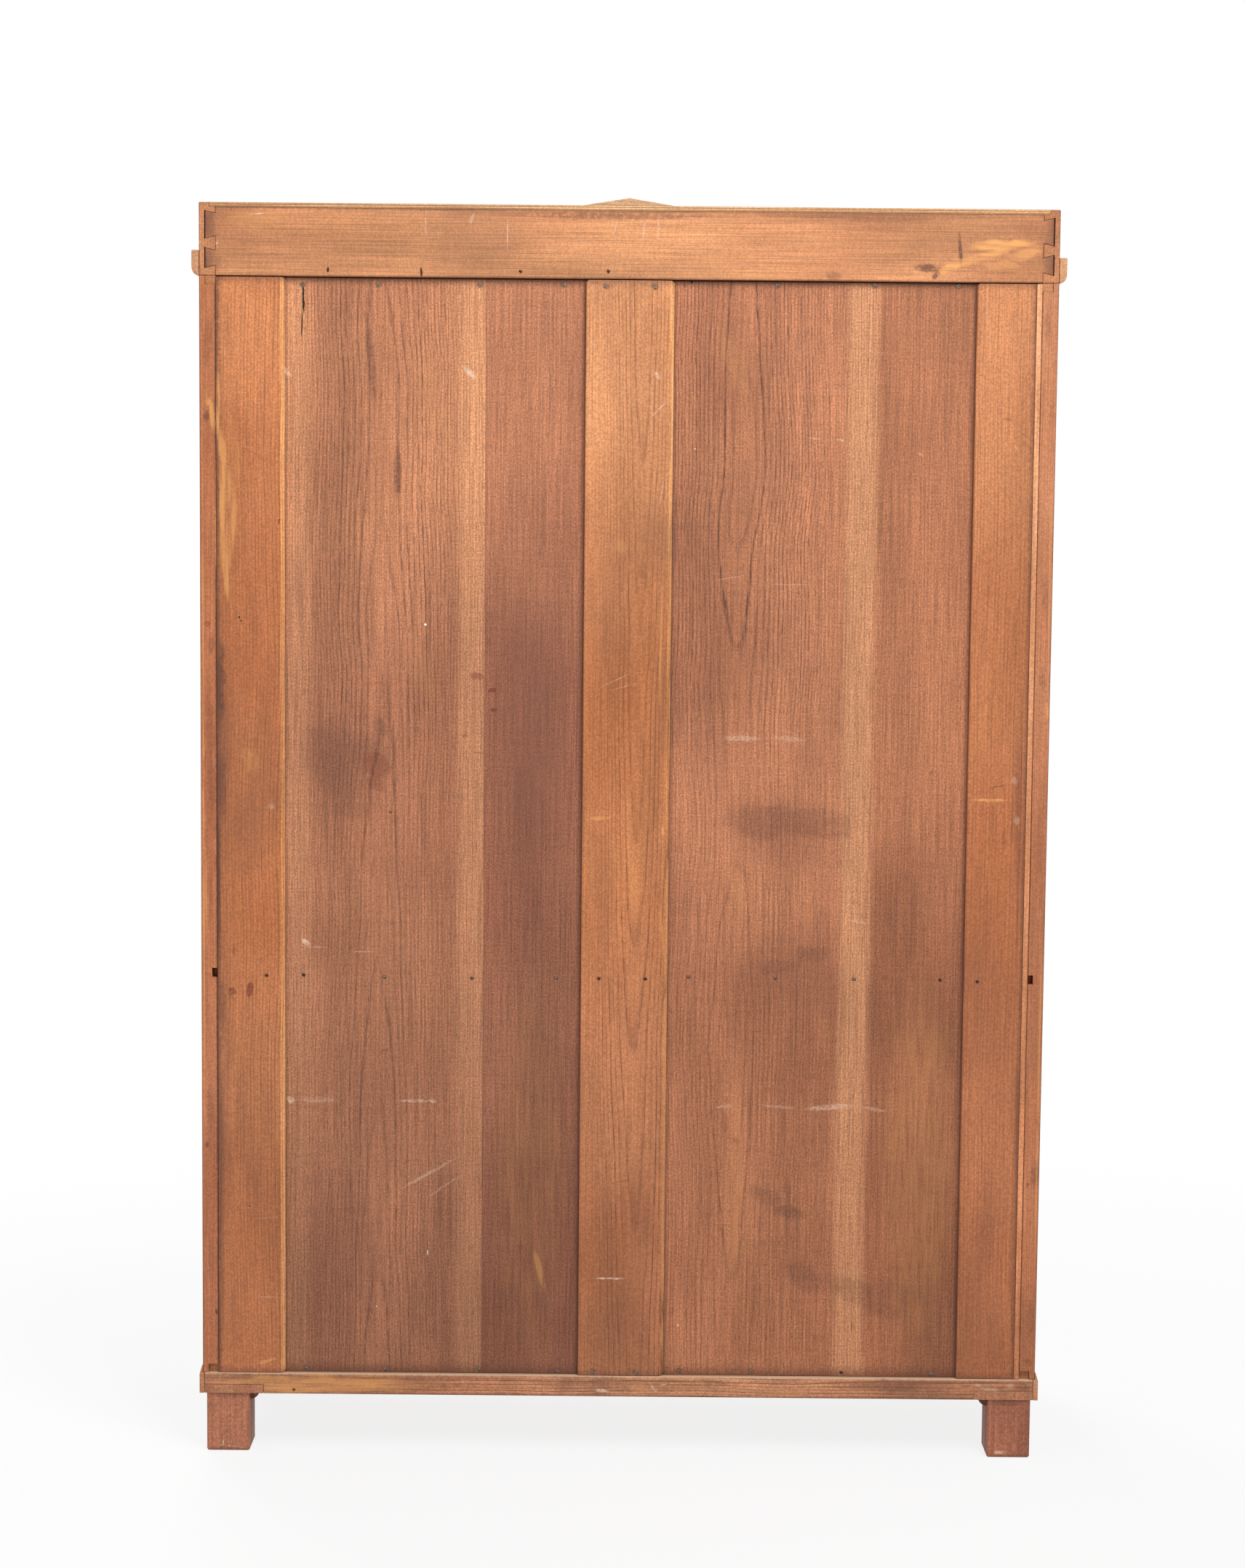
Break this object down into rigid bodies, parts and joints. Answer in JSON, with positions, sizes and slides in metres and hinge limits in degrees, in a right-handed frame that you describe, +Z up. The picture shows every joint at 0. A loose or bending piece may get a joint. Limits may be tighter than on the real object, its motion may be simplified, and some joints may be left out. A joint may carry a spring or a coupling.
{
  "type": "display cabinet",
  "caption": "Free-standing wooden display cabinet with glazed double doors, a dovetailed crown box with a low gable, a panelled back and block feet.",
  "frame": {"origin": "on the floor, at the middle of the cabinet's width and depth", "axes": "+Z up, +Y towards the panelled back, -Y towards the doors, +X to the right as seen from the front"},
  "size_m": [1.221, 0.414, 1.831],
  "materials": {
    "pine": "old stained pine, dull",
    "back_panel": "coarse-grained stained boards, dull",
    "sawn": "raw sawn pine",
    "polished_wood": "stained and polished show wood",
    "brass": "aged, satin",
    "steel": "aged, dull",
    "glass": "clear window glass"
  },
  "bodies": {
    "carcass": {"base_front_rail": "polished_wood", "base_left_rail": "polished_wood", "base_right_rail": "polished_wood", "base_rear_rail": "pine", "front_left_foot": "polished_wood", "front_right_foot": "polished_wood", "rear_left_foot": "polished_wood", "rear_right_foot": "polished_wood", "left_side": "pine", "right_side": "pine", "carcass_top": "pine", "carcass_bottom": "pine", "fixed_shelf": "pine", "upper_shelf": "pine", "left_shelf_cleat": "pine", "right_shelf_cleat": "pine", "back_left_stile": "pine", "back_centre_stile": "pine", "back_right_stile": "pine", "back_left_panel": "back_panel", "back_right_panel": "back_panel", "back_filler_slip": "sawn", "crown_back_board": "pine", "crown_left_board": "pine", "crown_right_board": "pine", "crown_front_board": "polished_wood", "crown_top_panel": "sawn", "crown_left_moulding": "polished_wood", "crown_right_moulding": "polished_wood", "crown_front_moulding": "polished_wood", "left_lower_hinge_frame_leaf": "brass", "left_upper_hinge_frame_leaf": "brass", "right_lower_hinge_frame_leaf": "brass", "right_upper_hinge_frame_leaf": "brass"},
    "left_door": {"left_door_hinge_stile": "polished_wood", "left_door_meeting_stile": "polished_wood", "left_door_top_rail": "polished_wood", "left_door_bottom_rail": "polished_wood", "left_door_lower_bar": "polished_wood", "left_door_upper_bar": "polished_wood", "left_door_glass": "glass", "left_lower_hinge_door_leaf": "brass", "left_upper_hinge_door_leaf": "brass", "top_bolt_guide": "brass", "bottom_bolt_guide": "brass"},
    "right_door": {"right_door_hinge_stile": "polished_wood", "right_door_meeting_stile": "polished_wood", "right_door_top_rail": "polished_wood", "right_door_bottom_rail": "polished_wood", "right_door_lower_bar": "polished_wood", "right_door_upper_bar": "polished_wood", "right_door_glass": "glass", "right_lower_hinge_door_leaf": "brass", "right_upper_hinge_door_leaf": "brass", "lock_case": "steel", "key_escutcheon": "brass"},
    "top_slide_bolt": {"top_bolt": "brass"},
    "bottom_slide_bolt": {"bottom_bolt": "brass"},
    "key": {"door_key": "steel"},
    "deadbolt": {"lock_bolt": "brass"}
  },
  "joints": [
    {"name": "left_door_swing", "type": "hinge", "parent": "carcass", "child": "left_door", "pos_m": [-0.576, -0.1778, 0.139], "axis": [0, 0, -1], "range_deg": [0, 120]},
    {"name": "right_door_swing", "type": "hinge", "parent": "carcass", "child": "right_door", "pos_m": [0.576, -0.1778, 0.139], "axis": [0, 0, 1], "range_deg": [0, 120]},
    {"name": "key_turn", "type": "hinge", "parent": "right_door", "child": "key", "pos_m": [0.0372, -0.173, 0.9], "axis": [0, -1, 0], "range_deg": [0, 180]},
    {"name": "deadbolt_slide", "type": "slide", "parent": "right_door", "child": "deadbolt", "axis": [-1, 0, 0], "range_m": [0, 0.01]},
    {"name": "top_bolt_slide", "type": "slide", "parent": "left_door", "child": "top_slide_bolt", "axis": [0, 0, 1], "range_m": [0, 0.014]},
    {"name": "bottom_bolt_slide", "type": "slide", "parent": "left_door", "child": "bottom_slide_bolt", "axis": [0, 0, -1], "range_m": [0, 0.014]}
  ],
  "couplings": [
    {"joint": "deadbolt_slide", "follows": "key_turn", "m_per_rad": 0.003183}
  ]
}
